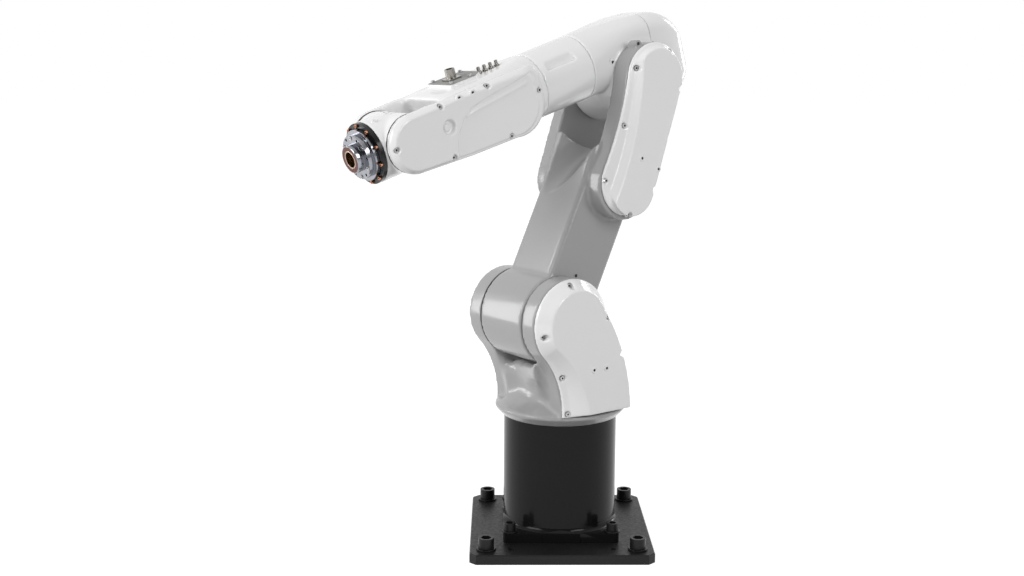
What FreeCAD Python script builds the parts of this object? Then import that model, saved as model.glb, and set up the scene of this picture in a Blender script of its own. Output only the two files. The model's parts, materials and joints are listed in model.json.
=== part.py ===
import FreeCAD, Part
import math
import os
import re

import Sketcher
from FreeCAD import Placement, Rotation, Vector

# Six-axis articulated robot arm on its mounting plate, in millimetres.
# The origin lies on the first axis at the plate's underside. +Z is up, +X runs along the plate's front edge
# and +Y runs from the front edge to the rear. Each link is drawn upright in its own frame, X forward, Y left
# and Z up, and is then set to the rest pose by its Placement.

SIZES = {
    # Rest pose
    "heading_angle": -143.5,
    "lean_angle": 25.2,
    "forearm_dip_angle": 17.7,
    # Link lengths
    "shoulder_offset": 50,
    "shoulder_height": 360,
    "upper_arm_length": 400,
    "elbow_offset": 45,
    "forearm_length": 430,
    "tool_length": 75,
    # Running clearances
    "running_gap": 0.4,
    "side_gap": 0.5,
    "far_gap": 1.5,
    "fit_gap": 0.3,
    # Mounting plate and its anchors
    "plate_width": 280,
    "plate_thickness": 15,
    "plate_chamfer": 10,
    "plate_edge": 1.5,
    "anchor_spacing": 230,
    "anchor_diameter": 16,
    "anchor_head_diameter": 24,
    "anchor_head_height": 16,
    "anchor_washer_diameter": 30,
    "anchor_washer_thickness": 3,
    "anchor_socket_width": 14,
    "lifting_hole_diameter": 8,
    "lifting_hole_spacing": 156,
    "lifting_hole_setback": 26,
    # Base housing
    "foot_width": 178.4,
    "foot_thickness": 15,
    "foot_corner": 8,
    "foot_pad_width": 58,
    "foot_fillet": 9,
    "foot_bolt_spacing": 158,
    "foot_bolt_diameter": 12,
    "foot_head_diameter": 18,
    "foot_head_height": 12,
    "foot_washer_diameter": 24,
    "foot_washer_thickness": 2.5,
    "foot_socket_width": 10,
    "base_radius": 88.5,
    "base_top": 199,
    "base_floor": 12,
    "base_bore": 66,
    "reducer_seat_bore": 76,
    "reducer_seat_height": 170,
    # Connector panel at the rear of the base
    "panel_width": 118,
    "panel_height": 116,
    "panel_thickness": 4,
    "panel_middle": 108,
    "panel_reach": 118,
    "panel_wall": 11,
    # Turret
    "turret_rim_radius": 103,
    "turret_foot_radius": 91,
    "turret_rim_rise": 13,
    "ear_radius": 68,
    "ear_inner": 51,
    "ear_outer": 82,
    "drum_radius": 69.5,
    "cradle_radius": 73,
    "cover_rise": 23,
    "cover_rim": 4,
    "cover_wall": 3,
    # Upper arm
    "arm_front": 41.5,
    "arm_rear": 60.5,
    "arm_edge": 7,
    "cheek_radius": 59,
    "near_cheek_radius": 55,
    "cheek_inner": "=elbow_near + running_gap",
    "near_cheek_width": 32.8,
    "cheek_outer": "=cheek_inner + near_cheek_width",
    "far_cheek_inner": "=elbow_far + side_gap",
    "far_cheek_width": 25,
    "far_cheek_outer": "=far_cheek_inner + far_cheek_width",
    "boss_radius": 53,
    "boss_back": 14.5,
    "boss_height": 228.5,
    "fork_depth": 127,
    "trough_radius": 38,
    "trough_length": 250,
    "long_cover_rise": 16,
    # Elbow
    "elbow_far": 49.5,
    "elbow_near": 44.8,
    "elbow_barrel": 60,
    "elbow_bowl": 69,
    "elbow_rear": 113,
    "elbow_seam": 35,
    "roll_face": 93.2,
    "tube_radius": 51,
    # Forearm
    "tube_end": 187,
    "tube_bore": 36,
    "fork_inner": "=wrist_half_width + side_gap",
    "near_arm_width": 4,
    "forearm_face": "=fork_inner + near_arm_width",
    "far_arm_width": 12,
    "fork_outer": "=fork_inner + far_arm_width",
    "throat_radius": 73,
    "fork_end_radius": 42,
    "side_cover_rise": 12,
    # Wrist and tool flange
    "wrist_half_width": 45.5,
    "wrist_barrel": 41,
    "wrist_face": 44,
    "wrist_face_radius": 44.5,
    "seal_ring_face": 50.5,
    "seal_ring_bore": 37.4,
    "flange_radius": 36.8,
    "flange_step": 57,
    "flange_step_radius": 31.5,
    "flange_face": 65,
    "flange_bolt_circle": 56,
    "hub_radius": 20,
    "hollow_radius": 11,
    "sleeve_wall": 1.5,
}

document = FreeCAD.newDocument("RobotArm")
dims = document.addObject("Spreadsheet::Sheet", "dims")
for row, alias in enumerate(SIZES, start=1):
    dims.set(f"A{row}", alias)
    dims.setAlias(f"B{row}", alias)
for row, value in enumerate(SIZES.values(), start=1):
    dims.set(f"B{row}", str(value))
document.recompute()


class Size:
    """Reads a driving dimension back from the sheet."""

    def __getattr__(self, alias):
        return dims.get(alias)


size = Size()


def formula(text):
    """The same sum of sizes, with each one written as the sheet's cell."""
    return re.sub(r"[a-z_]{4,}", lambda word: "dims." + word.group(), str(text))


def through(x, y):
    """Bends the edge that it stands on, so that it passes through this point."""
    return ("through", x, y)


def on_circle(x, y, radius, degrees):
    """The point of a circle at an angle from its first axis."""
    turn = math.radians(degrees)
    return (x + radius * math.cos(turn), y + radius * math.sin(turn))


def outline(*marks):
    """Draws a closed outline through its corners."""

    def draw(drawing):
        last = None
        bend = None
        for mark in marks + (marks[0],):
            if mark[0] == "through":
                bend = Vector(mark[1], mark[2], 0)
                continue
            here = Vector(mark[0], mark[1], 0)
            if last is not None:
                edge = Part.Arc(last, bend, here) if bend else Part.LineSegment(last, here)
                drawing.addGeometry(edge)
            last = here
            bend = None

    return draw


def block(low, high, radius=0):
    """Draws a rectangle between two corners, with round corners where a radius is given."""
    (x1, y1), (x2, y2) = low, high
    if not radius:
        return outline((x1, y1), (x2, y1), (x2, y2), (x1, y2))
    cut = radius * (1 - math.sqrt(0.5))
    return outline(
        (x1 + radius, y1),
        (x2 - radius, y1),
        through(x2 - cut, y1 + cut),
        (x2, y1 + radius),
        (x2, y2 - radius),
        through(x2 - cut, y2 - cut),
        (x2 - radius, y2),
        (x1 + radius, y2),
        through(x1 + cut, y2 - cut),
        (x1, y2 - radius),
        (x1, y1 + radius),
        through(x1 + cut, y1 + cut),
    )


def rings(*circles):
    """Draws circles, each given by its centre and a radius bound to the sheet."""

    def draw(drawing):
        for x, y, radius in circles:
            start = drawing.evalExpression(formula(radius))
            curve = drawing.addGeometry(Part.Circle(Vector(x, y, 0), Vector(0, 0, 1), start))
            rule = drawing.addConstraint(Sketcher.Constraint("Radius", curve, start))
            drawing.setExpression(f"Constraints[{rule}]", formula(radius))

    return draw


def both(*draws):
    """Draws several outlines in one sketch."""

    def draw(drawing):
        for each in draws:
            each(drawing)

    return draw


def new_body(name):
    return document.addObject("PartDesign::Body", name)


def sketch(body, name, plane, offset, draw):
    """A drawing on one of its body's origin planes, lifted along the plane's normal."""
    drawing = body.newObject("Sketcher::SketchObject", name)
    support = next(item for item in body.Origin.OriginFeatures if item.Role == plane + "_Plane")
    drawing.AttachmentSupport = (support, [""])
    drawing.MapMode = "FlatFace"
    drawing.setExpression("AttachmentOffset.Base.z", formula(offset))
    draw(drawing)
    return drawing


def slab(body, name, plane, low, high, draw, cut=False):
    """A drawing carried from low to high across its plane, added to the body or cut from it."""
    offset = f"-({high})" if plane == "XZ" else low
    drawing = sketch(body, name + "Drawing", plane, offset, draw)
    feature = body.newObject("PartDesign::Pocket" if cut else "PartDesign::Pad", name)
    feature.Profile = drawing
    feature.Refine = not cut
    feature.Reversed = cut
    feature.setExpression("Length", formula(f"({high}) - ({low})"))
    return feature


def turned(body, name, plane, axis, draw, cut=False):
    """A half section turned once round one of the body's axes."""
    drawing = sketch(body, name + "Drawing", plane, 0, draw)
    feature = body.newObject("PartDesign::Groove" if cut else "PartDesign::Revolution", name)
    feature.Profile = drawing
    line = next(item for item in body.Origin.OriginFeatures if item.Role == axis + "_Axis")
    feature.ReferenceAxis = (line, [""])
    feature.Angle = 360
    return feature


def loft(body, name, plane, sections, ruled=True, cut=False):
    """A skin over two or more drawings, each with its place across the plane."""
    drawings = [
        sketch(body, f"{name}Section{number}", plane, offset, draw)
        for number, (offset, draw) in enumerate(sections, start=1)
    ]
    feature = body.newObject("PartDesign::SubtractiveLoft" if cut else "PartDesign::AdditiveLoft", name)
    feature.Profile = drawings[0]
    feature.Sections = drawings[1:]
    feature.Ruled = ruled
    return feature


def soften(body, name, base, radius, wanted, kind="Fillet"):
    """Rounds or chamfers those edges of a feature that pass the test."""
    document.recompute()
    names = [f"Edge{index}" for index, edge in enumerate(base.Shape.Edges, start=1) if wanted(edge)]
    feature = body.newObject("PartDesign::" + kind, name)
    feature.Base = (base, names)
    feature.setExpression("Size" if kind == "Chamfer" else "Radius", formula(radius))
    body.Tip = feature
    return feature


NODES = []


def place(thing, label, frame):
    """Names a sub-part and sets it in its link's frame."""
    thing.Label = label
    thing.Placement = frame
    NODES.append(thing)
    return thing


def group(label, frame, pieces):
    """Like pieces kept together as separate solids."""
    feature = document.addObject("Part::Feature", label)
    feature.Shape = Part.makeCompound(pieces)
    return place(feature, label, frame)


def cap_screw(name, head_diameter, head_height, shank_diameter, shank_length, socket_width):
    """A socket head screw, seated at its own origin with its head up."""
    head = document.addObject("Part::Cylinder", name + "Head")
    head.setExpression("Radius", formula(f"({head_diameter}) / 2"))
    head.setExpression("Height", formula(head_height))
    shank = document.addObject("Part::Cylinder", name + "Shank")
    shank.setExpression("Radius", formula(f"({shank_diameter}) / 2"))
    shank.setExpression("Height", formula(shank_length))
    shank.setExpression("Placement.Base.z", formula(f"-({shank_length})"))
    whole = document.addObject("Part::Fuse", name + "Whole")
    whole.Base = head
    whole.Tool = shank
    socket = document.addObject("Part::Prism", name + "Socket")
    socket.Polygon = 6
    socket.setExpression("Circumradius", formula(f"({socket_width}) / 2 / cos(30)"))
    socket.setExpression("Height", formula(head_height))
    socket.setExpression("Placement.Base.z", formula(f"({head_height}) * 0.45"))
    screw = document.addObject("Part::Cut", name)
    screw.Base = whole
    screw.Tool = socket
    document.recompute()
    return screw.Shape


def washer(name, outer_diameter, bore_diameter, thickness):
    """A plain washer, seated at its own origin."""
    disc = document.addObject("Part::Cylinder", name + "Disc")
    disc.setExpression("Radius", formula(f"({outer_diameter}) / 2"))
    disc.setExpression("Height", formula(thickness))
    hole = document.addObject("Part::Cylinder", name + "Hole")
    hole.setExpression("Radius", formula(f"({bore_diameter}) / 2"))
    hole.setExpression("Height", formula(thickness))
    ring = document.addObject("Part::Cut", name)
    ring.Base = disc
    ring.Tool = hole
    document.recompute()
    return ring.Shape


def copies(shape, spots, turn=Rotation()):
    """Copies of a piece, each with its origin on a spot."""
    pieces = []
    for spot in spots:
        piece = shape.copy()
        piece.Placement = Placement(Vector(*spot), turn)
        pieces.append(piece)
    return pieces


def square(spacing, height):
    """The four corners of a square bolt pattern."""
    half = spacing / 2
    return [(x, y, height) for x in (-half, half) for y in (-half, half)]


LEFTWARD = Rotation(Vector(1, 0, 0), -90)
RIGHTWARD = Rotation(Vector(1, 0, 0), 90)
FORWARD = Rotation(Vector(0, 1, 0), 90)
Y_AXIS = Vector(0, 1, 0)

# Frames of the links at rest
BASE = Placement()
TURRET = Placement(Vector(), Rotation(Vector(0, 0, 1), size.heading_angle))
SHOULDER = TURRET.multiply(
    Placement(Vector(size.shoulder_offset, 0, size.shoulder_height), Rotation(Y_AXIS, -size.lean_angle))
)
ELBOW = SHOULDER.multiply(
    Placement(
        Vector(0, 0, size.upper_arm_length), Rotation(Y_AXIS, size.lean_angle + size.forearm_dip_angle)
    )
)
FOREARM = ELBOW.multiply(Placement(Vector(0, 0, size.elbow_offset), Rotation()))
WRIST = FOREARM.multiply(Placement(Vector(size.forearm_length, 0, 0), Rotation()))

# Mounting plate: flame-cut square with cut corners, bolted down at its corners
half_plate = size.plate_width / 2
corner = half_plate - size.plate_chamfer
plate = new_body("MountingPlate")
slab(
    plate,
    "Square",
    "XY",
    0,
    "plate_thickness",
    outline(
        (-half_plate, -corner),
        (-corner, -half_plate),
        (corner, -half_plate),
        (half_plate, -corner),
        (half_plate, corner),
        (corner, half_plate),
        (-corner, half_plate),
        (-half_plate, corner),
    ),
)
anchor_spots = square(size.anchor_spacing, size.plate_thickness)
foot_spots = square(size.foot_bolt_spacing, size.plate_thickness + size.foot_thickness)
lifting_y = -half_plate + size.lifting_hole_setback
lifting_x = size.lifting_hole_spacing / 2
plate_holes = slab(
    plate,
    "Holes",
    "XY",
    0,
    "plate_thickness",
    rings(
        *[(x, y, "anchor_diameter / 2 + 0.75") for x, y, z in anchor_spots],
        *[(x, y, "foot_bolt_diameter / 2 + fit_gap") for x, y, z in foot_spots],
        *[(x, lifting_y, "lifting_hole_diameter / 2") for x in (-lifting_x, lifting_x)],
    ),
    cut=True,
)


def plate_top_edge(edge):
    middle = edge.CenterOfMass
    straight = not hasattr(edge.Curve, "Radius")
    return straight and middle.z > size.plate_thickness - 0.01


soften(plate, "EdgeBreak", plate_holes, "plate_edge", plate_top_edge, "Chamfer")
place(plate, "mounting_plate", BASE)

anchor = cap_screw(
    "Anchor",
    "anchor_head_diameter",
    "anchor_head_height",
    "anchor_diameter",
    "plate_thickness + anchor_washer_thickness - 2",
    "anchor_socket_width",
)
anchor_ring = washer(
    "AnchorRing", "anchor_washer_diameter", "anchor_diameter + 1", "anchor_washer_thickness"
)
seat = size.plate_thickness + size.anchor_washer_thickness
group("anchor_screws", BASE, copies(anchor, square(size.anchor_spacing, seat)))
group("anchor_washers", BASE, copies(anchor_ring, anchor_spots))

# Base housing: cast column on a square foot, bored for the first reducer, with a box for the connectors
half_foot = size.foot_width / 2
foot_top = size.plate_thickness + size.foot_thickness
base = new_body("BaseHousing")
slab(
    base,
    "Foot",
    "XY",
    "plate_thickness",
    "plate_thickness + foot_thickness",
    block((-half_foot, -half_foot), (half_foot, half_foot), size.foot_corner),
)
slab(base, "Column", "XY", "plate_thickness", "base_top", rings((0, 0, "base_radius")))
fillet = size.foot_fillet
turned(
    base,
    "FootFillet",
    "XZ",
    "Z",
    outline(
        (size.base_radius - 2, foot_top),
        (size.base_radius + fillet, foot_top),
        through(size.base_radius + fillet * 0.293, foot_top + fillet * 0.293),
        (size.base_radius, foot_top + fillet),
        (size.base_radius - 2, foot_top + fillet),
    ),
)
slab(
    base,
    "FootSides",
    "XY",
    "plate_thickness + foot_thickness",
    "plate_thickness + foot_thickness + foot_fillet + 1",
    both(
        block((-2 * half_foot, -2 * half_foot), (2 * half_foot, 2 * half_foot)),
        block((-half_foot, -half_foot), (half_foot, half_foot), size.foot_corner),
    ),
    cut=True,
)
slab(
    base,
    "FrontPad",
    "XZ",
    "-foot_width / 2 - 1",
    "-foot_width / 2 + 1",
    block(
        (-size.foot_pad_width / 2, size.plate_thickness),
        (size.foot_pad_width / 2, foot_top),
    ),
)
half_panel = size.panel_width / 2
panel_low = size.panel_middle - size.panel_height / 2
panel_high = size.panel_middle + size.panel_height / 2
slab(
    base,
    "ConnectorBox",
    "XZ",
    "base_radius * 0.6",
    "panel_reach",
    block((-half_panel, panel_low), (half_panel, panel_high), 8),
)
slab(
    base,
    "Cavity",
    "XY",
    "plate_thickness + base_floor",
    "reducer_seat_height",
    rings((0, 0, "base_bore")),
    cut=True,
)
slab(
    base,
    "ReducerSeat",
    "XY",
    "reducer_seat_height",
    "base_top",
    rings((0, 0, "reducer_seat_bore")),
    cut=True,
)
wall = size.panel_wall
slab(
    base,
    "ConnectorWindow",
    "XZ",
    "base_bore * 0.5",
    "panel_reach",
    block((-half_panel + wall, panel_low + wall), (half_panel - wall, panel_high - wall), 4),
    cut=True,
)
panel_screw_heights = (panel_low + 9, size.panel_middle, panel_high - 9)
panel_screw_spots = [(x, z) for x in (-half_panel + 6, half_panel - 6) for z in panel_screw_heights]
slab(
    base,
    "PanelScrewHoles",
    "XZ",
    "panel_reach - 10",
    "panel_reach",
    rings(*[(x, z, "2 + fit_gap") for x, z in panel_screw_spots]),
    cut=True,
)
foot_holes = slab(
    base,
    "FootHoles",
    "XY",
    "plate_thickness",
    "plate_thickness + foot_thickness + foot_fillet + 1",
    rings(*[(x, y, "foot_bolt_diameter / 2 + 0.75") for x, y, z in foot_spots]),
    cut=True,
)
slab(
    base,
    "WasherSeats",
    "XY",
    "plate_thickness + foot_thickness",
    "plate_thickness + foot_thickness + foot_fillet + 6",
    rings(*[(x, y, "foot_washer_diameter / 2 + 0.5") for x, y, z in foot_spots]),
    cut=True,
)
place(base, "base_housing", BASE)

foot_bolt = cap_screw(
    "FootBolt",
    "foot_head_diameter",
    "foot_head_height",
    "foot_bolt_diameter",
    "foot_thickness + foot_washer_thickness + plate_thickness - 2",
    "foot_socket_width",
)
foot_ring = washer("FootRing", "foot_washer_diameter", "foot_bolt_diameter + 1", "foot_washer_thickness")
seat = foot_top + size.foot_washer_thickness
group("base_screws", BASE, copies(foot_bolt, square(size.foot_bolt_spacing, seat)))
group("base_washers", BASE, copies(foot_ring, foot_spots))

# Connector panel: plate with the power and signal inlets and two air couplings
panel_face = size.panel_reach + size.panel_thickness
power_spot = (-22, size.panel_middle + 24)
signal_spot = (30, size.panel_middle + 24)
air_spots = [(-28, size.panel_middle - 30), (-4, size.panel_middle - 30)]
panel = new_body("ConnectorPanel")
slab(
    panel,
    "Plate",
    "XZ",
    "panel_reach",
    "panel_reach + panel_thickness",
    block((-half_panel, panel_low), (half_panel, panel_high), 8),
)
slab(
    panel,
    "Openings",
    "XZ",
    "panel_reach",
    "panel_reach + panel_thickness",
    both(
        block((power_spot[0] - 25, power_spot[1] - 13), (power_spot[0] + 25, power_spot[1] + 13), 2),
        rings(
            (signal_spot[0], signal_spot[1], "15 + fit_gap"),
            *[(x, z, "5 + fit_gap") for x, z in air_spots],
            *[(x, z, "2 + fit_gap") for x, z in panel_screw_spots],
        ),
    ),
    cut=True,
)
place(panel, "connector_panel", BASE)

power = new_body("PowerInlet")
slab(
    power,
    "Flange",
    "XZ",
    "panel_reach + panel_thickness",
    "panel_reach + panel_thickness + 4",
    block((power_spot[0] - 32, power_spot[1] - 19), (power_spot[0] + 32, power_spot[1] + 19), 4),
)
slab(
    power,
    "Shell",
    "XZ",
    "panel_reach - 12",
    "panel_reach + panel_thickness + 22",
    block((power_spot[0] - 24.5, power_spot[1] - 12.5), (power_spot[0] + 24.5, power_spot[1] + 12.5), 2),
)
slab(
    power,
    "Mouth",
    "XZ",
    "panel_reach + panel_thickness + 4",
    "panel_reach + panel_thickness + 22",
    block((power_spot[0] - 21.5, power_spot[1] - 9.5), (power_spot[0] + 21.5, power_spot[1] + 9.5), 1),
    cut=True,
)
place(power, "power_inlet", BASE)

signal = new_body("SignalInlet")
slab(
    signal,
    "Flange",
    "XZ",
    "panel_reach + panel_thickness",
    "panel_reach + panel_thickness + 4",
    block((signal_spot[0] - 18, signal_spot[1] - 18), (signal_spot[0] + 18, signal_spot[1] + 18), 4),
)
slab(
    signal,
    "Shell",
    "XZ",
    "panel_reach - 12",
    "panel_reach + panel_thickness + 20",
    rings((signal_spot[0], signal_spot[1], "15")),
)
slab(
    signal,
    "Mouth",
    "XZ",
    "panel_reach + panel_thickness + 5",
    "panel_reach + panel_thickness + 20",
    rings((signal_spot[0], signal_spot[1], "12.5")),
    cut=True,
)
place(signal, "signal_inlet", BASE)


def air_coupling(x, z):
    """A push-in coupling: threaded stem, hexagon and release collar with its bore."""
    stem = Part.makeCylinder(5, 14, Vector(x, size.panel_reach - 10, z), Y_AXIS)
    collar = Part.makeCylinder(7.5, 10, Vector(x, panel_face, z), Y_AXIS)
    ring = Part.makeCylinder(5.5, 4, Vector(x, panel_face + 10, z), Y_AXIS)
    bore = Part.makeCylinder(3, 24, Vector(x, panel_face - 6, z), Y_AXIS)
    return stem.fuse([collar, ring]).cut(bore).removeSplitter()


group("air_couplings", BASE, [air_coupling(x, z) for x, z in air_spots])

small_screw = cap_screw("SmallScrew", "7", "4", "4", "9", "3")
group(
    "panel_screws",
    BASE,
    copies(small_screw, [(x, panel_face, z) for x, z in panel_screw_spots], LEFTWARD),
)

# First axis: reducer seated in the column, with its motor hanging below it
reducer_top = size.reducer_seat_height + 12
reducer = new_body("TurretReducer")
slab(
    reducer,
    "Flange",
    "XY",
    "reducer_seat_height",
    "reducer_seat_height + 12",
    rings((0, 0, "reducer_seat_bore - fit_gap")),
)
slab(
    reducer,
    "Case",
    "XY",
    "reducer_seat_height - 30",
    "reducer_seat_height",
    rings((0, 0, "base_bore - fit_gap")),
)
place(reducer, "turret_reducer", BASE)

motor = new_body("TurretMotor")
slab(
    motor,
    "Case",
    "XY",
    "reducer_seat_height - 120",
    "reducer_seat_height - 30",
    block((-30, -30), (30, 30), 6),
)
slab(
    motor,
    "Encoder",
    "XY",
    "reducer_seat_height - 140",
    "reducer_seat_height - 120",
    block((-26, -26), (26, 26), 6),
)
place(motor, "turret_motor", BASE)

# Turret: casting with a rimmed foot, two ears and the cradle under the drum of the upper arm
shoulder_x = size.shoulder_offset
shoulder_z = size.shoulder_height
foot_z = size.base_top + size.fit_gap
rim_z = foot_z + size.turret_rim_rise
turret = new_body("ShoulderCasting")
turned(
    turret,
    "Foot",
    "XZ",
    "Z",
    outline(
        (0, reducer_top + size.running_gap),
        (55, reducer_top + size.running_gap),
        (55, foot_z),
        (size.turret_foot_radius, foot_z),
        (size.turret_rim_radius, rim_z),
        (size.turret_rim_radius, rim_z + 3),
        (size.turret_rim_radius - 2.5, rim_z + 5),
        through(84, rim_z + 12),
        (66, rim_z + 28),
        (0, rim_z + 28),
    ),
)


def ear_outline():
    """Outline of the ears: round at the shoulder, hollow in front and full behind."""
    radius = size.ear_radius
    return outline(
        (-61, rim_z),
        through(-42, 305),
        on_circle(shoulder_x, shoulder_z, radius, 160),
        through(shoulder_x, shoulder_z + radius),
        on_circle(shoulder_x, shoulder_z, radius, -42),
        through(74, 272),
        (64.5, rim_z),
    )


cover_foot = rim_z + 4.5
slab(
    turret,
    "CoverRoom",
    "XZ",
    "ear_outer",
    "turret_rim_radius + 5",
    block((-80, cover_foot - 0.5), (80, rim_z + 50)),
    cut=True,
)
slab(turret, "NearEar", "XZ", "ear_inner", "ear_outer", ear_outline())
slab(turret, "FarEar", "XZ", "-ear_outer", "-ear_inner", ear_outline())


def cradle_section(top_back, top_front, nose, brow, crease):
    """The web between the ears: level on top, with a full nose above a crease in front."""
    foot = (crease[0] + 4, rim_z)
    return outline((-61, rim_z), (-56, top_back), top_front, through(*nose), brow, crease, foot)


loft(
    turret,
    "Cradle",
    "XZ",
    [
        ("-ear_inner", cradle_section(286, (84, 306), (93, 292), (77, 258), (63, 238))),
        ("ear_inner * 0.4", cradle_section(282, (60, 297), (70, 286), (66, 262), (62, 242))),
        ("ear_inner", cradle_section(268, (64, 276), (76, 266), (75, 252), (70, 238))),
    ],
)
slab(
    turret,
    "DrumRoom",
    "XZ",
    "-ear_inner",
    "ear_inner",
    rings((shoulder_x, shoulder_z, "cradle_radius")),
    cut=True,
)
slab(
    turret,
    "ShoulderBore",
    "XZ",
    "ear_inner",
    "ear_outer",
    rings((shoulder_x, shoulder_z, "45")),
    cut=True,
)
slab(
    turret,
    "PivotBore",
    "XZ",
    "-ear_outer",
    "-ear_inner",
    rings((shoulder_x, shoulder_z, "30")),
    cut=True,
)
motor_spot = (-4, 252)
slab(
    turret,
    "MotorBore",
    "XZ",
    "-30",
    "ear_outer",
    rings((*motor_spot, "31")),
    cut=True,
)
place(turret, "shoulder_casting", TURRET)

shoulder_reducer = new_body("ShoulderReducer")
slab(
    shoulder_reducer,
    "Case",
    "XZ",
    "ear_inner + running_gap",
    "ear_outer",
    rings((shoulder_x, shoulder_z, "45 - fit_gap")),
)
slab(
    shoulder_reducer,
    "Cap",
    "XZ",
    "ear_outer",
    "ear_outer + 8",
    rings((shoulder_x, shoulder_z, "38")),
)
place(shoulder_reducer, "shoulder_reducer", TURRET)

shoulder_motor = new_body("ShoulderMotor")
slab(
    shoulder_motor,
    "Case",
    "XZ",
    "-30",
    "ear_outer",
    rings((*motor_spot, "31 - fit_gap")),
)
slab(
    shoulder_motor,
    "Flange",
    "XZ",
    "ear_outer",
    "ear_outer + 6",
    block((motor_spot[0] - 25, motor_spot[1] - 18), (motor_spot[0] + 25, motor_spot[1] + 18), 6),
)
place(shoulder_motor, "shoulder_motor", TURRET)

# Shoulder cover: a shelf along its front edge, then a slope up to the flat field


def cover_section(rise, front, shrink=0):
    """The shoulder cover's outline, from its rim at rise 0 to its field at rise 1.

    The front gives the curve's middle and foot, which draw in faster than the rest.
    """
    radius = size.ear_radius - 16 * rise - shrink
    middle, foot = front
    return outline(
        (-60 + 5 * rise + shrink, cover_foot + 3 * rise + shrink),
        through(-41.5 + 0.5 * rise + shrink, 304 - 7 * rise),
        on_circle(shoulder_x, shoulder_z, radius, 160 - 2 * rise),
        through(shoulder_x, shoulder_z + radius),
        on_circle(shoulder_x, shoulder_z, radius, -42 + 8 * rise),
        through(middle - shrink, 272),
        (foot - shrink, cover_foot + 3 * rise + shrink),
    )


rim_front = (73.5, 64)
shelf_front = (64, 55)
field_front = (44.5, 25.5)
shoulder_screw_spots = [
    (58.5, 419),
    (107, 347),
    (68.5, 280),
    (57, cover_foot + 6),
    (-8, 366),
    (-37, 306),
]
wall = size.cover_wall
cover = new_body("ShoulderCover")
slab(cover, "Rim", "XZ", "ear_outer", "ear_outer + cover_rim", cover_section(0, rim_front))
loft(
    cover,
    "Field",
    "XZ",
    [
        ("-(ear_outer + cover_rim)", cover_section(0, rim_front)),
        ("-(ear_outer + cover_rim * 0.85 + cover_rise * 0.15)", cover_section(0.15, shelf_front)),
        ("-(ear_outer + cover_rise)", cover_section(1, field_front)),
    ],
)
loft(
    cover,
    "Inside",
    "XZ",
    [
        ("-ear_outer", cover_section(0, rim_front, wall + 11)),
        ("-(ear_outer + cover_rise - cover_wall)", cover_section(1, field_front, wall)),
    ],
    cut=True,
)
slab(
    cover,
    "ScrewPockets",
    "XZ",
    "ear_outer + cover_wall",
    "ear_outer + cover_rise + 2",
    rings(*[(x, z, "4.6") for x, z in shoulder_screw_spots]),
    cut=True,
)
slab(
    cover,
    "ScrewHoles",
    "XZ",
    "ear_outer",
    "ear_outer + cover_wall + 1",
    rings(*[(x, z, "2 + fit_gap") for x, z in shoulder_screw_spots]),
    cut=True,
)
place(cover, "shoulder_cover", TURRET)
rim_screw = cap_screw("RimScrew", "7", "4", "4", "cover_wall", "3")
group(
    "shoulder_cover_screws",
    TURRET,
    copies(rim_screw, [(x, size.ear_outer + wall, z) for x, z in shoulder_screw_spots], LEFTWARD),
)

pivot_cap = new_body("ShoulderPivotCap")
slab(
    pivot_cap,
    "Disc",
    "XZ",
    "-ear_outer - 5",
    "-ear_outer",
    rings((shoulder_x, shoulder_z, "50")),
)
slab(
    pivot_cap,
    "Spigot",
    "XZ",
    "-ear_outer",
    "-ear_inner - fit_gap",
    rings((shoulder_x, shoulder_z, "30 - fit_gap")),
)
cap_angles = range(30, 390, 60)
cap_spots = [on_circle(shoulder_x, shoulder_z, 42, angle) for angle in cap_angles]
slab(
    pivot_cap,
    "Holes",
    "XZ",
    "-ear_outer - 5",
    "-ear_outer",
    rings(*[(x, z, "2 + fit_gap") for x, z in cap_spots]),
    cut=True,
)
place(pivot_cap, "shoulder_pivot_cap", TURRET)
group(
    "shoulder_cap_screws",
    TURRET,
    copies(
        cap_screw("CapScrew", "7", "4", "4", "3", "3"),
        [(x, -size.ear_outer - 5, z) for x, z in cap_spots],
        RIGHTWARD,
    ),
)

# Upper arm: one casting from the shoulder drum to the fork round the elbow
elbow_z = size.upper_arm_length
boss_x = -size.boss_back
boss_z = size.boss_height
arm = new_body("UpperArmCasting")
column = slab(
    arm,
    "Column",
    "XZ",
    "-(ear_inner - 1)",
    "ear_inner - running_gap",
    outline(
        (-size.arm_rear, 0),
        (size.arm_front, 0),
        (size.arm_front, 175),
        through(43.5, 230),
        (52, 285),
        (52, 305),
        (-size.arm_rear, 305),
    ),
)


def long_edge(edge):
    box = edge.BoundBox
    inside = abs(box.YMin) < size.ear_inner - 6
    return not inside and box.YLength < 0.01 and box.ZLength > 40


soften(arm, "ColumnEdges", column, "arm_edge", long_edge)
slab(
    arm,
    "Drum",
    "XZ",
    "-ear_inner + far_gap",
    "ear_inner - running_gap",
    rings((0, 0, "drum_radius")),
)
# A trough for the forearm runs down the column's front, slanted towards the far side
trough_start = Vector(27, 44, 353)
trough_up = Vector(-0.32, 0.44, 1)
trough = arm.newObject("Sketcher::SketchObject", "TroughDrawing")
trough.AttachmentSupport = (
    next(item for item in arm.Origin.OriginFeatures if item.Role == "XY_Plane"),
    [""],
)
trough.MapMode = "FlatFace"
trough.AttachmentOffset = Placement(trough_start, Rotation(Vector(0, 0, 1), trough_up))
rings((0, 0, "trough_radius"))(trough)
scoop = arm.newObject("PartDesign::Pocket", "Trough")
scoop.Profile = trough
scoop.setExpression("Length", formula("trough_length"))


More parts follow.
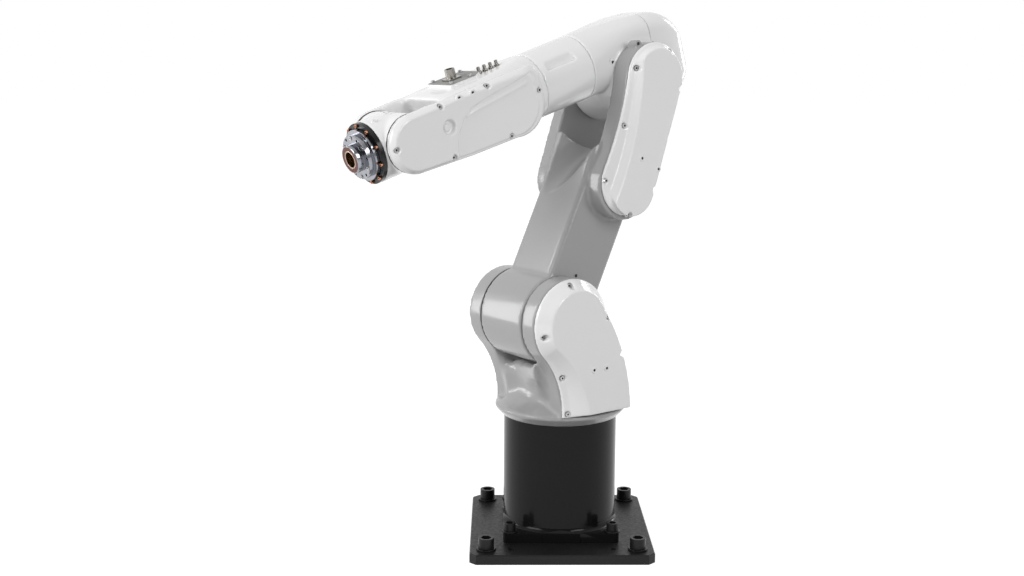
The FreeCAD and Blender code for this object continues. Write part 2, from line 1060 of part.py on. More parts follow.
def cheek_outline(centre, radius, front):
    """Round at the elbow, waisted below it and round again at the motor boss."""
    boss = size.boss_radius
    return outline(
        (boss_x - boss, boss_z),
        on_circle(*centre, radius, 180),
        through(centre[0], centre[1] + radius),
        on_circle(*centre, radius, -15),
        through(front, 315),
        (boss_x + boss, boss_z),
        through(boss_x, boss_z - boss),
    )


near_centre = (6, elbow_z - 3)
slab(
    arm,
    "NearCheek",
    "XZ",
    "cheek_inner",
    "cheek_outer",
    cheek_outline(near_centre, size.near_cheek_radius, 42),
)
slab(
    arm,
    "FarCheek",
    "XZ",
    "-far_cheek_outer",
    "-far_cheek_inner",
    cheek_outline((0, elbow_z), size.cheek_radius, 49),
)
slab(arm, "CheekLug", "XZ", "54", "cheek_outer - 4", rings((52, 431, "7.5")))
slab(
    arm,
    "Fork",
    "XZ",
    "-far_cheek_inner",
    "cheek_inner",
    rings((0, elbow_z, "fork_depth")),
    cut=True,
)
slab(arm, "LugHole", "XZ", "54", "cheek_outer - 4", rings((54, 432, "2.8")), cut=True)
slab(
    arm,
    "ElbowBore",
    "XZ",
    "cheek_inner",
    "cheek_outer",
    rings((0, elbow_z, "42")),
    cut=True,
)
slab(
    arm,
    "PivotBore",
    "XZ",
    "-far_cheek_outer",
    "-far_cheek_inner",
    rings((0, elbow_z, "26")),
    cut=True,
)
slab(
    arm,
    "MotorBore",
    "XZ",
    "-30",
    "cheek_outer",
    rings((boss_x, boss_z, "31")),
    cut=True,
)
slab(
    arm,
    "CableClampHole",
    "XZ",
    "36",
    "ear_inner - running_gap",
    rings((-6, 74, "2.6")),
    cut=True,
)
place(arm, "upper_arm_casting", SHOULDER)

elbow_reducer = new_body("ElbowReducer")
slab(
    elbow_reducer,
    "Case",
    "XZ",
    "cheek_inner",
    "cheek_outer",
    rings((0, elbow_z, "42 - fit_gap")),
)
slab(elbow_reducer, "Cap", "XZ", "cheek_outer", "cheek_outer + 8", rings((0, elbow_z, "28")))
place(elbow_reducer, "elbow_reducer", SHOULDER)

elbow_motor = new_body("ElbowMotor")
slab(elbow_motor, "Case", "XZ", "-30", "cheek_outer", rings((boss_x, boss_z, "31 - fit_gap")))
slab(
    elbow_motor,
    "Flange",
    "XZ",
    "cheek_outer",
    "cheek_outer + 6",
    block((boss_x - 20, boss_z - 20), (boss_x + 20, boss_z + 20), 6),
)
place(elbow_motor, "elbow_motor", SHOULDER)

# Long cover over the belt side of the elbow drive: a shelf for the screws curves up to a field


def long_section(rise, shrink=0):
    """The long cover's outline, from its rim at rise 0 to its field at rise 1."""
    radius = size.near_cheek_radius - 8.7 * rise - shrink
    return outline(
        (-67.5 + 7.5 * rise + shrink, 235),
        on_circle(*near_centre, radius, 180),
        through(near_centre[0], near_centre[1] + radius),
        on_circle(*near_centre, radius, 24 * rise - 10),
        through(43 - 25.8 * rise - shrink, 311),
        (38.5 - 34 * rise - shrink, 235 - 45 * rise + shrink),
        through(-14.5 - 13.5 * rise, 182 + 2.5 * rise + shrink),
    )


long_screw_spots = [
    (51, 393),
    (34, 306.5),
    (31, 218),
    (-30, 187),
    (0, 445.5),
    (-41, 402),
    (-52.5, 324.5),
    (-60, 241),
]
long_cover = new_body("LongCover")
slab(long_cover, "Rim", "XZ", "cheek_outer", "cheek_outer + cover_rim", long_section(0))
loft(
    long_cover,
    "Field",
    "XZ",
    [
        ("-(cheek_outer + cover_rim)", long_section(0)),
        ("-(cheek_outer + cover_rim * 0.75 + long_cover_rise * 0.25)", long_section(0.6)),
        ("-(cheek_outer + long_cover_rise)", long_section(1)),
    ],
)
loft(
    long_cover,
    "Inside",
    "XZ",
    [
        ("-cheek_outer", long_section(0, wall + 14)),
        ("-(cheek_outer + long_cover_rise - cover_wall)", long_section(1, wall)),
    ],
    cut=True,
)
slab(
    long_cover,
    "ScrewPockets",
    "XZ",
    "cheek_outer + cover_wall",
    "cheek_outer + long_cover_rise + 2",
    rings(*[(x, z, "4.6") for x, z in long_screw_spots]),
    cut=True,
)
slab(
    long_cover,
    "ScrewHoles",
    "XZ",
    "cheek_outer",
    "cheek_outer + cover_wall + 1",
    rings(*[(x, z, "2 + fit_gap") for x, z in long_screw_spots]),
    cut=True,
)
place(long_cover, "elbow_drive_cover", SHOULDER)
group(
    "elbow_drive_cover_screws",
    SHOULDER,
    copies(rim_screw, [(x, size.cheek_outer + wall, z) for x, z in long_screw_spots], LEFTWARD),
)

elbow_cap = new_body("ElbowPivotCap")
slab(
    elbow_cap,
    "Disc",
    "XZ",
    "-far_cheek_outer - 5",
    "-far_cheek_outer",
    rings((0, elbow_z, "42")),
)
slab(
    elbow_cap,
    "Spigot",
    "XZ",
    "-far_cheek_outer",
    "-far_cheek_inner - fit_gap",
    rings((0, elbow_z, "26 - fit_gap")),
)
elbow_cap_spots = [on_circle(0, elbow_z, 35, angle) for angle in cap_angles]
slab(
    elbow_cap,
    "Holes",
    "XZ",
    "-far_cheek_outer - 5",
    "-far_cheek_outer",
    rings(*[(x, z, "2 + fit_gap") for x, z in elbow_cap_spots]),
    cut=True,
)
place(elbow_cap, "elbow_pivot_cap", SHOULDER)
group(
    "elbow_cap_screws",
    SHOULDER,
    copies(
        cap_screw("ElbowCapScrew", "7", "4", "4", "3", "3"),
        [(x, -size.far_cheek_outer - 5, z) for x, z in elbow_cap_spots],
        RIGHTWARD,
    ),
)

# Elbow: casting that turns in the fork, with a shell over the motor of the roll axis
axis_z = size.elbow_offset
half_tube = size.tube_radius
neck_near = size.elbow_near - 1
neck_far = size.elbow_far - 1


def elbow_section(near, far, low, high, radius):
    return block((-far, low), (near, high), radius)


elbow = new_body("ElbowCasting")
loft(
    elbow,
    "Neck",
    "YZ",
    [
        (
            "roll_face",
            elbow_section(half_tube, half_tube, axis_z - half_tube, axis_z + half_tube, half_tube - 0.5),
        ),
        (
            "roll_face * 0.6",
            elbow_section(neck_near, neck_far, axis_z - half_tube, axis_z + 51, 40),
        ),
        ("0", elbow_section(neck_near, neck_far, -20, axis_z + 50, 30)),
        ("-elbow_seam", elbow_section(neck_near, neck_far, -50, axis_z + 47, 26)),
    ],
    ruled=False,
)
turned(
    elbow,
    "Barrel",
    "XY",
    "Y",
    outline(
        (0, -size.elbow_far),
        (size.elbow_bowl, -size.elbow_far),
        (size.elbow_bowl, -size.elbow_far + 5),
        through(size.elbow_bowl - 3, -20),
        (size.elbow_barrel, 0),
        (size.elbow_barrel, size.elbow_near),
        (0, size.elbow_near),
    ),
)
slab(
    elbow,
    "RollBore",
    "YZ",
    "-elbow_seam - 30",
    "roll_face",
    rings((0, axis_z, "tube_bore")),
    cut=True,
)
slab(elbow, "SideHole", "XZ", "elbow_near - 8", "elbow_near", rings((52.5, 43, "3")), cut=True)
place(elbow, "elbow_casting", ELBOW)

rear = new_body("ElbowRearCover")
loft(
    rear,
    "Shell",
    "YZ",
    [
        ("-elbow_seam", elbow_section(neck_near, neck_far, -50, axis_z + 47, 26)),
        ("-(elbow_seam + 32)", elbow_section(44, 48, -52, axis_z + 41, 27)),
        ("-(elbow_seam + 60)", elbow_section(38, 42, -44, axis_z + 25, 26)),
        ("-elbow_rear", elbow_section(26, 30, -28, axis_z + 3, 22)),
    ],
    ruled=False,
)
loft(
    rear,
    "Inside",
    "YZ",
    [
        ("-elbow_seam", elbow_section(neck_near - wall, neck_far - wall, -46, axis_z + 43, 23)),
        ("-(elbow_seam + 32)", elbow_section(40, 44, -48, axis_z + 37, 24)),
        ("-(elbow_seam + 62)", elbow_section(32, 36, -38, axis_z + 19, 21)),
    ],
    ruled=False,
    cut=True,
)
slab(
    rear,
    "BarrelRoom",
    "XZ",
    "-elbow_far - 1",
    "0",
    rings((0, 0, "elbow_bowl + fit_gap")),
    cut=True,
)
slab(
    rear,
    "NearBarrelRoom",
    "XZ",
    "0",
    "elbow_near + 1",
    rings((0, 0, "elbow_barrel + fit_gap")),
    cut=True,
)
place(rear, "elbow_rear_cover", ELBOW)

roll_motor = new_body("RollMotor")
slab(
    roll_motor,
    "Case",
    "YZ",
    "-elbow_seam - 45",
    "roll_face - 40",
    block((-25, axis_z - 25), (25, axis_z + 25), 6),
)
slab(
    roll_motor,
    "Reducer",
    "YZ",
    "roll_face - 40",
    "roll_face",
    rings((0, axis_z, "tube_bore - fit_gap")),
)
place(roll_motor, "forearm_roll_drive", ELBOW)

# Forearm: round tube behind, forked casting in front, a cover on each side
tube = new_body("ForearmTube")
tube_start = "roll_face + running_gap"
loft(
    tube,
    "Barrel",
    "YZ",
    [
        (tube_start, rings((0, 0, "tube_radius"))),
        ("tube_end", rings((0, 0, "tube_radius - 1"))),
    ],
)
slab(tube, "Bore", "YZ", tube_start, "tube_end", rings((0, 0, "tube_bore")), cut=True)
slab(
    tube,
    "SideRecess",
    "XZ",
    "tube_radius - 14",
    "tube_radius + 1",
    outline((118, 22), (176, 22), (168, 46), (126, 46)),
    cut=True,
)
place(tube, "forearm_tube", FOREARM)

wrist_x = size.forearm_length
face = size.forearm_face
throat = wrist_x - size.throat_radius
fore = new_body("ForearmCasting")
loft(
    fore,
    "Shaft",
    "YZ",
    [
        ("tube_end", block((-50, -50), (50, 50), 49.5)),
        ("tube_end + 45", block((-52, -47), (face - 0.6, 48), 30)),
        ("forearm_length - throat_radius + 14", block((-54, -45), (face - 0.6, 44), 22)),
    ],
    ruled=False,
)


def fork_arm(far_back):
    """A fork arm's outline, round about the wrist axis."""
    radius = size.fork_end_radius
    return outline(
        (far_back, -radius - 3),
        (wrist_x, -radius),
        through(wrist_x + radius, 0),
        (wrist_x, radius),
        (far_back, radius + 1),
    )


slab(fore, "FarArm", "XZ", "-fork_outer", "-fork_inner", fork_arm(throat - 40))
slab(fore, "NearArm", "XZ", "fork_inner", "forearm_face", fork_arm(throat - 40))
slab(
    fore,
    "Throat",
    "XZ",
    "-fork_inner",
    "fork_inner",
    rings((wrist_x, 0, "throat_radius")),
    cut=True,
)
slab(
    fore,
    "Platform",
    "XY",
    "40",
    "52",
    outline((272, -30), (336, -30), (336, 29), (290, 29), (272, 14)),
)
slab(fore, "Bore", "YZ", "tube_end", "tube_end + 60", rings((0, 0, "tube_bore")), cut=True)
platform_spots = [(329, -24), (329, 23), (280, -24), (296, 23)]
port_spots = [(232, 2), (243, 2), (254, 2), (265, 2)]
slab(
    fore,
    "PlatformHoles",
    "XY",
    "43",
    "52",
    rings(*[(x, y, "1.75 + fit_gap") for x, y in platform_spots]),
    cut=True,
)
slab(
    fore,
    "PortHoles",
    "XY",
    "40",
    "60",
    rings(*[(x, y, "4 + fit_gap") for x, y in port_spots]),
    cut=True,
)
place(fore, "forearm_casting", FOREARM)


def side_rim():
    """The rim of the forearm side cover: round at the wrist, tapered to the tube."""
    radius = size.fork_end_radius
    return outline(
        (199, -14),
        (199, 18),
        through(203, 35),
        (222, 44),
        (320, 43),
        (wrist_x, radius),
        through(wrist_x + radius, 0),
        (wrist_x, -radius),
        (340, -48),
        (262, -50),
        through(219, -42),
    )


def side_field():
    """The outer face of a forearm side cover."""
    radius = size.fork_end_radius - 6
    return outline(
        (218, -14),
        (218, 14),
        through(221, 28),
        (236, 36),
        (320, 37),
        (wrist_x, radius),
        through(wrist_x + radius, 0),
        (wrist_x, -radius),
        (340, -42),
        (266, -44),
        through(232, -36),
    )


side_screw_spots = [
    (wrist_x - 50, 36),
    (296, 39),
    (wrist_x + 34, 3),
    (wrist_x - 51, -38),
    (275, -43),
    (208, 4),
]
side = new_body("ForearmSideCover")
slab(side, "Rim", "XZ", "forearm_face", "forearm_face + cover_rim", side_rim())
loft(
    side,
    "Field",
    "XZ",
    [
        ("-(forearm_face + cover_rim)", side_rim()),
        ("-(forearm_face + side_cover_rise)", side_field()),
    ],
)
slab(
    side,
    "ScrewPockets",
    "XZ",
    "forearm_face + 4",
    "forearm_face + side_cover_rise + 2",
    rings(*[(x, z, "4.2") for x, z in side_screw_spots]),
    cut=True,
)
slab(
    side,
    "ScrewHoles",
    "XZ",
    "forearm_face",
    "forearm_face + 6",
    rings(*[(x, z, "2 + fit_gap") for x, z in side_screw_spots]),
    cut=True,
)
place(side, "forearm_side_cover", FOREARM)
group(
    "forearm_cover_screws",
    FOREARM,
    copies(
        cap_screw("SideScrew", "7", "4", "4", "3.5", "3"),
        [(x, size.forearm_face + 4, z) for x, z in side_screw_spots],
        LEFTWARD,
    ),
)

wrist_cap = new_body("WristPivotCap")
slab(
    wrist_cap,
    "Disc",
    "XZ",
    "-fork_outer - 6",
    "-fork_outer",
    rings((wrist_x, 0, "fork_end_radius - 4")),
)
place(wrist_cap, "wrist_pivot_cap", FOREARM)

# Tool connector and air ports on the forearm's platform
socket_x = 312
connector = new_body("ToolConnector")
slab(connector, "Flange", "XY", "52", "55", block((socket_x - 11, -11), (socket_x + 11, 11), 3))
slab(connector, "Shell", "XY", "55", "68", rings((socket_x, 0, "7.5")))
slab(connector, "Mouth", "XY", "60", "68", rings((socket_x, 0, "5.8")), cut=True)
place(connector, "tool_connector", FOREARM)


def air_port(x, y):
    """A short barbed stub for an air line, with its bore."""
    collar = Part.makeCylinder(4, 10, Vector(x, y, 40))
    stem = Part.makeCylinder(2.6, 6, Vector(x, y, 50))
    bore = Part.makeCylinder(1.4, 9, Vector(x, y, 47))
    return stem.fuse(collar).cut(bore).removeSplitter()


group("air_ports", FOREARM, [air_port(x, y) for x, y in port_spots])
platform_screw = cap_screw("PlatformScrew", "6", "3.5", "3.5", "6", "2.6")
group(
    "platform_screws",
    FOREARM,
    copies(platform_screw, [(x, y, 52) for x, y in platform_spots]),
)

# Wrist: short casting that tilts in the fork and carries the tool flange
wrist = new_body("WristCasting")
slab(wrist, "Barrel", "XZ", "-wrist_half_width", "wrist_half_width", rings((0, 0, "wrist_barrel")))
slab(wrist, "Front", "YZ", "0", "wrist_face", rings((0, 0, "wrist_face_radius")))
slab(wrist, "Hollow", "YZ", "-wrist_barrel", "wrist_face", rings((0, 0, "hollow_radius + 1")), cut=True)
place(wrist, "wrist_casting", WRIST)

ring = new_body("SealRing")
slab(
    ring,
    "Ring",
    "YZ",
    "wrist_face",
    "seal_ring_face",
    rings((0, 0, "wrist_face_radius - 0.5"), (0, 0, "seal_ring_bore")),
)
slab(
    ring,
    "Holes",
    "YZ",
    "wrist_face",
    "seal_ring_face",
    rings(*[(*on_circle(0, 0, 40.6, angle), "1.5 + fit_gap") for angle in range(18, 378, 36)]),
    cut=True,
)
place(ring, "seal_ring", WRIST)
group(
    "seal_ring_screws",
    WRIST,
    copies(
        cap_screw("RingScrew", "5", "3", "3", "6", "2.5"),
        [(size.seal_ring_face, *on_circle(0, 0, 40.6, angle)) for angle in range(18, 378, 36)],
        FORWARD,
    ),
)

# Tool flange: stepped disc with a hub, tapped holes between its screws and a sleeved hollow
flange_circle = size.flange_bolt_circle / 2
hole_angles = range(0, 360, 60)
screw_angles = range(30, 390, 60)
flange = new_body("ToolFlange")
flange_back = size.wrist_face + size.running_gap
hub = size.hub_radius
bore = size.hollow_radius + size.sleeve_wall + 0.1
turned(
    flange,
    "Disc",
    "XZ",
    "X",
    outline(
        (flange_back, bore),
        (flange_back, size.flange_radius),
        (size.flange_step, size.flange_radius),
        (size.flange_step, size.flange_step_radius),
        (size.flange_face, size.flange_step_radius),
        (size.flange_face, hub),
        (size.tool_length - 1, hub),
        (size.tool_length, hub - 1),
        (size.tool_length, bore),
    ),
)
slab(
    flange,
    "TappedHoles",
    "YZ",
    "flange_face - 10",
    "flange_face",
    rings(*[(*on_circle(0, 0, flange_circle, angle), "2.1") for angle in hole_angles]),
    cut=True,
)
slab(
    flange,
    "ScrewSeats",
    "YZ",
    "flange_face - 2",
    "flange_face",
    rings(*[(*on_circle(0, 0, flange_circle, angle), "3.1") for angle in screw_angles]),
    cut=True,
)
slab(
    flange,
    "ScrewHoles",
    "YZ",
    "flange_face - 12",
    "flange_face - 1",
    rings(*[(*on_circle(0, 0, flange_circle, angle), "1.5 + fit_gap") for angle in screw_angles]),
    cut=True,
)
slab(
    flange,
    "SealSeat",
    "YZ",
    "tool_length - 1",
    "tool_length",
    rings((0, 0, "hub_radius - 1.5"), (0, 0, "hollow_radius + sleeve_wall + 0.5")),
    cut=True,
)
place(flange, "tool_flange", WRIST)
group(
    "flange_screws",
    WRIST,
    copies(
        cap_screw("FlangeScrew", "5.6", "3", "3", "8", "2.5"),
        [(size.flange_face - 2, *on_circle(0, 0, flange_circle, angle)) for angle in screw_angles],
        FORWARD,
    ),
)

sleeve = new_body("HollowSleeve")
slab(
    sleeve,
    "Sleeve",
    "YZ",
    "wrist_face + running_gap",
    "tool_length",
    rings((0, 0, "hollow_radius + sleeve_wall"), (0, 0, "hollow_radius")),
)
place(sleeve, "hollow_sleeve", WRIST)

face_ring = new_body("FaceRing")
slab(
    face_ring,
    "Ring",
    "YZ",
    "tool_length - 1",
    "tool_length",
    rings((0, 0, "hub_radius - 1.6"), (0, 0, "hollow_radius + sleeve_wall + 0.6")),
)
place(face_ring, "face_ring", WRIST)

document.recompute()


def faults():
    """Objects that failed to build, and sub-parts without a whole shape."""
    for item in document.Objects:
        if "Invalid" in item.State or "Error" in item.State:
            yield item.Label
    for node in NODES:
        if node.Shape.isNull() or not node.Shape.isValid():
            yield node.Label


found = sorted(set(faults()))
if found:
    raise RuntimeError("not built: " + ", ".join(found))

os.makedirs("parts", exist_ok=True)
for node in NODES:
    node.Shape.exportStep(f"parts/{node.Label}.step")
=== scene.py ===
import json
import math

import bmesh
import bpy
from mathutils import Matrix, Vector

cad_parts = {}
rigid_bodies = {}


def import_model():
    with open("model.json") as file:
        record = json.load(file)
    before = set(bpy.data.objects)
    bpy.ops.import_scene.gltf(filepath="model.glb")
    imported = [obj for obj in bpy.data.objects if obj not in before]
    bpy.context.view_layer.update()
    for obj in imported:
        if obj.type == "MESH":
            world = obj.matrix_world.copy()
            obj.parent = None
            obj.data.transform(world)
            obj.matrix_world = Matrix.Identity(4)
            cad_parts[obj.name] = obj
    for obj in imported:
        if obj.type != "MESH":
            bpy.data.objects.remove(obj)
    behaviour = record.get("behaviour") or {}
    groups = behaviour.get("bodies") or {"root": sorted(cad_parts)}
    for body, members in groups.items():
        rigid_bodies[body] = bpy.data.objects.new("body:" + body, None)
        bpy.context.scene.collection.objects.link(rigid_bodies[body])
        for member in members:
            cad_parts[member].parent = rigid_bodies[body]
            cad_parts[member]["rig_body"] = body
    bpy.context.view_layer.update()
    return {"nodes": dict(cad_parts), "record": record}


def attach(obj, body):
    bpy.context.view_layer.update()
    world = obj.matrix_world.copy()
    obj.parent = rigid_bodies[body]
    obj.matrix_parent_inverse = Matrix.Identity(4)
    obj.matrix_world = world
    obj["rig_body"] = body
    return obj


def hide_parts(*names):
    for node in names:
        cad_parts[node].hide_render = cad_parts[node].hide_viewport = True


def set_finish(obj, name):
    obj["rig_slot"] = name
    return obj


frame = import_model()
scene = bpy.context.scene

# Camera: a long lens two metres in front of the arm, at the height of its elbow.
# It looks slightly down, and over that distance the plate's sides hardly converge.
photo_width, photo_height = 1024, 576
focal_pixels = 1323.04
axis_pixel = (531.94, 259.43)
aim = Vector((-0.04646, 0.0, 0.44189))
camera_distance = 2.05442
turn = math.radians(-1.43)
dip = math.radians(8.61)
roll = math.radians(0.49)
lens = bpy.data.cameras.new("photo_lens")
lens.sensor_width = 36
lens.lens = focal_pixels / photo_width * lens.sensor_width
lens.shift_x = (photo_width / 2 - axis_pixel[0]) / photo_width
lens.shift_y = (axis_pixel[1] - photo_height / 2) / photo_width
lens.clip_end = 30
camera = bpy.data.objects.new("photo_camera", lens)
scene.collection.objects.link(camera)
heading = Matrix.Rotation(turn, 3, "Z") @ Matrix.Rotation(-dip, 3, "X")
view_line = heading @ Vector((0, 1, 0))
level = heading @ Vector((1, 0, 0))
upright = level.cross(view_line)
right = math.cos(roll) * level + math.sin(roll) * upright
above = math.cos(roll) * upright - math.sin(roll) * level
camera_axes = Matrix((right, above, -view_line)).transposed().to_4x4()
camera.matrix_world = Matrix.Translation(aim - camera_distance * view_line) @ camera_axes
scene.camera = camera
scene.view_settings.view_transform = "Standard"


# Studio: a matt white sweep that runs out of sight, under a sky that is white to the camera.
# Paint and metal mirror white behind and beside the arm, and a dim room in front of it, where
# the camera stands. The soft light of the sky falls off from left to right.
def linear(colour):
    """An sRGB hex colour as the linear values that a shader takes."""
    parts = [int(colour[i : i + 2], 16) / 255 for i in (1, 3, 5)]
    return [c / 12.92 if c <= 0.04045 else ((c + 0.055) / 1.055) ** 2.4 for c in parts] + [1]


def add(tree, kind, inputs=None, **settings):
    """One node with its settings. An input is a value, or the output that it is linked to."""
    made = tree.nodes.new(kind)
    for name, value in settings.items():
        setattr(made, name, value)
    for name, value in (inputs or {}).items():
        if isinstance(value, bpy.types.NodeSocket):
            tree.links.new(value, made.inputs[name])
        else:
            made.inputs[name].default_value = value
    return made


def new_material(name):
    """An empty material with its principled shader wired to the output."""
    made = bpy.data.materials.new(name)
    made.use_nodes = True
    made.node_tree.nodes.clear()
    shader = add(made.node_tree, "ShaderNodeBsdfPrincipled")
    add(made.node_tree, "ShaderNodeOutputMaterial", {"Surface": shader.outputs["BSDF"]})
    return made, made.node_tree, shader


def ray_in_mirror(tree):
    """A surface's light path, and a value that is 1 for mirrored and refracted rays."""
    path = add(tree, "ShaderNodeLightPath")
    mirrored = add(
        tree,
        "ShaderNodeMath",
        {0: path.outputs["Is Glossy Ray"], 1: path.outputs["Is Transmission Ray"]},
        operation="MAXIMUM",
    )
    return path, mirrored


floor_reach = 20
floor_brightness = 0.8
floor_mesh = bpy.data.meshes.new("studio_floor")
sheet = bmesh.new()
bmesh.ops.create_grid(sheet, x_segments=1, y_segments=1, size=floor_reach)
sheet.to_mesh(floor_mesh)
sheet.free()
floor = bpy.data.objects.new("studio_floor", floor_mesh)
scene.collection.objects.link(floor)
floor_paint, floor_nodes, floor_shader = new_material("matt_white_floor")
floor_path, floor_mirrored = ray_in_mirror(floor_nodes)
in_view = add(
    floor_nodes,
    "ShaderNodeMath",
    {0: floor_mirrored.outputs["Value"], 1: floor_path.outputs["Is Camera Ray"]},
    operation="MAXIMUM",
)
floor_glow = add(
    floor_nodes,
    "ShaderNodeMath",
    {0: in_view.outputs["Value"], 1: floor_brightness},
    operation="MULTIPLY",
)
floor_shader.inputs["Base Color"].default_value = linear("#B4B4B4")
floor_shader.inputs["Roughness"].default_value = 0.9
floor_shader.inputs["Specular IOR Level"].default_value = 0.1
floor_shader.inputs["Emission Color"].default_value = linear("#FFFFFF")
floor_nodes.links.new(floor_glow.outputs["Value"], floor_shader.inputs["Emission Strength"])
floor_mesh.materials.append(floor_paint)

mirror_in_front, mirror_behind = 0.12, 1.0
light_from_left, light_from_right = 0.6, 0.32
sky = bpy.data.worlds.new("studio_sky")
scene.world = sky
sky.use_nodes = True
sky_nodes = sky.node_tree
sky_nodes.nodes.clear()
sky_path, sky_mirrored = ray_in_mirror(sky_nodes)
way = add(sky_nodes, "ShaderNodeTexCoord")
way_parts = add(sky_nodes, "ShaderNodeSeparateXYZ", {"Vector": way.outputs["Generated"]})
front_to_back = add(
    sky_nodes,
    "ShaderNodeMapRange",
    {
        "Value": way_parts.outputs["Y"],
        "From Min": -0.75,
        "From Max": 0.1,
        "To Min": mirror_in_front,
        "To Max": mirror_behind,
    },
    interpolation_type="SMOOTHSTEP",
)
left_to_right = add(
    sky_nodes,
    "ShaderNodeMapRange",
    {
        "Value": way_parts.outputs["X"],
        "From Min": -0.8,
        "From Max": 0.8,
        "To Min": light_from_left,
        "To Max": light_from_right,
    },
)
soft_light = add(
    sky_nodes,
    "ShaderNodeMix",
    {
        "Factor": sky_mirrored.outputs["Value"],
        "A": left_to_right.outputs["Result"],
        "B": front_to_back.outputs["Result"],
    },
)
sky_strength = add(
    sky_nodes,
    "ShaderNodeMath",
    {0: soft_light.outputs["Result"], 1: sky_path.outputs["Is Camera Ray"]},
    operation="MAXIMUM",
)
light_of_sky = add(
    sky_nodes,
    "ShaderNodeBackground",
    {"Color": linear("#FFFFFF"), "Strength": sky_strength.outputs["Value"]},
)
add(sky_nodes, "ShaderNodeOutputWorld", {"Surface": light_of_sky.outputs["Background"]})

# Lamps: a large soft box at the left is the key, and a smaller one at the front right fills in.
# Two upright strips draw the long highlights on the column and on the shoulder's drum.
for name, place, aim_height, size, watts in (
    ("left_box", (-2.0, -1.3, 1.3), 0.45, (1.4, 1.2), 29),
    ("front_right_box", (1.3, -1.6, 1.5), 0.4, (0.9, 1.2), 18),
    ("left_strip", (-2.2, 0.5, 0.7), 0.4, (0.3, 1.6), 10),
    ("back_strip", (1.7, 1.5, 1.2), 0.5, (0.4, 1.6), 12),
):
    lamp = bpy.data.lights.new(name, "AREA")
    lamp.shape = "RECTANGLE"
    lamp.size, lamp.size_y = size
    lamp.energy = watts
    stand = bpy.data.objects.new(name, lamp)
    scene.collection.objects.link(stand)
    stand.location = place
    stand.rotation_mode = "QUATERNION"
    lamp_line = Vector((0, 0, aim_height)) - Vector(place)
    stand.rotation_quaternion = lamp_line.to_track_quat("-Z", "Y")

# Mounting plate: flame-cut steel, ground flat and hot-blacked, bolted down at its corners.
# The blacking keeps a thin oily sheen and hardly hides the fine scale of the rolled surface.
record_slots = {part["node"]: part["material_slot"] for part in frame["record"]["subparts"]}


def surface(node, finish, edge_mm):
    """A welded copy of a CAD node with its finish, and with the broken edges that catch light."""
    weld = 0.005 / 1000
    flat_angle = math.radians(0.4)
    edge_angle = math.radians(28)
    source = frame["nodes"][node]
    piece = bpy.data.objects.new(node + ".skin", source.data.copy())
    scene.collection.objects.link(piece)
    piece.data.materials.clear()
    piece.data.materials.append(finish)
    shell = bmesh.new()
    shell.from_mesh(piece.data)
    bmesh.ops.remove_doubles(shell, verts=shell.verts, dist=weld)
    bmesh.ops.dissolve_limit(shell, angle_limit=flat_angle, verts=shell.verts, edges=shell.edges)
    for face in shell.faces:
        face.smooth = True
        face.material_index = 0
    shell.to_mesh(piece.data)
    shell.free()
    piece.data.set_sharp_from_angle(angle=edge_angle)
    if edge_mm:
        rounding = piece.modifiers.new("broken_edges", "BEVEL")
        rounding.width = edge_mm / 1000
        rounding.segments = 3
        rounding.limit_method = "ANGLE"
        rounding.angle_limit = edge_angle
        rounding.harden_normals = True
    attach(piece, source["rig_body"])
    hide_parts(node)
    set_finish(piece, record_slots[node])
    return piece


def blackened_steel(name, colour, roughness, grain_mm):
    """Steel after hot blacking: nearly black, with a fine mottled sheen."""
    made, tree, shader = new_material(name)
    place = add(tree, "ShaderNodeTexCoord")
    scale = add(
        tree,
        "ShaderNodeTexNoise",
        {"Vector": place.outputs["Object"], "Scale": 1000 / grain_mm},
    )
    sheen = add(
        tree,
        "ShaderNodeMapRange",
        {
            "Value": scale.outputs["Fac"],
            "From Min": 0.3,
            "From Max": 0.7,
            "To Min": roughness - 0.08,
            "To Max": roughness + 0.1,
        },
    )
    relief = add(
        tree,
        "ShaderNodeBump",
        {"Height": scale.outputs["Fac"], "Strength": 0.12, "Distance": 0.0003},
    )
    shader.inputs["Base Color"].default_value = linear(colour)
    shader.inputs["Metallic"].default_value = 0.2
    shader.inputs["Specular IOR Level"].default_value = 0.3
    tree.links.new(sheen.outputs["Result"], shader.inputs["Roughness"])
    tree.links.new(relief.outputs["Normal"], shader.inputs["Normal"])
    return made


plate_black = blackened_steel("hot_blacked_plate", "#1C1C1D", 0.42, 4)
surface("mounting_plate", plate_black, 0.8)

# Anchor and foot screws: steel socket screws in black oxide, on hardened washers.
# The oil in the oxide makes them a little glossier than the plate.
screw_black = blackened_steel("black_oxide_screws", "#19191A", 0.34, 2)
for hardware in ("anchor_screws", "anchor_washers", "base_screws", "base_washers"):
    surface(hardware, screw_black, 0.5)


# Base column and connector panel: cast aluminium in a thick charcoal gloss paint, screwed to
# the plate. The paint flows out like glass, so the column mirrors the strips as upright bands.
def stoved_paint(name, colour, roughness, ior, coat, peel_mm):
    """Baked paint on a casting: an even colour with a faint orange peel under its gloss."""
    made, tree, shader = new_material(name)
    place = add(tree, "ShaderNodeTexCoord")
    peel = add(
        tree,
        "ShaderNodeTexNoise",
        {"Vector": place.outputs["Object"], "Scale": 1000 / peel_mm, "Detail": 1.5},
    )
    relief = add(
        tree,
        "ShaderNodeBump",
        {"Height": peel.outputs["Fac"], "Strength": 0.05, "Distance": 0.0004},
    )
    shader.inputs["Base Color"].default_value = linear(colour)
    shader.inputs["Roughness"].default_value = roughness
    shader.inputs["IOR"].default_value = ior
    shader.inputs["Coat Weight"].default_value = coat
    shader.inputs["Coat Roughness"].default_value = 0.08
    tree.links.new(relief.outputs["Normal"], shader.inputs["Normal"])
    return made


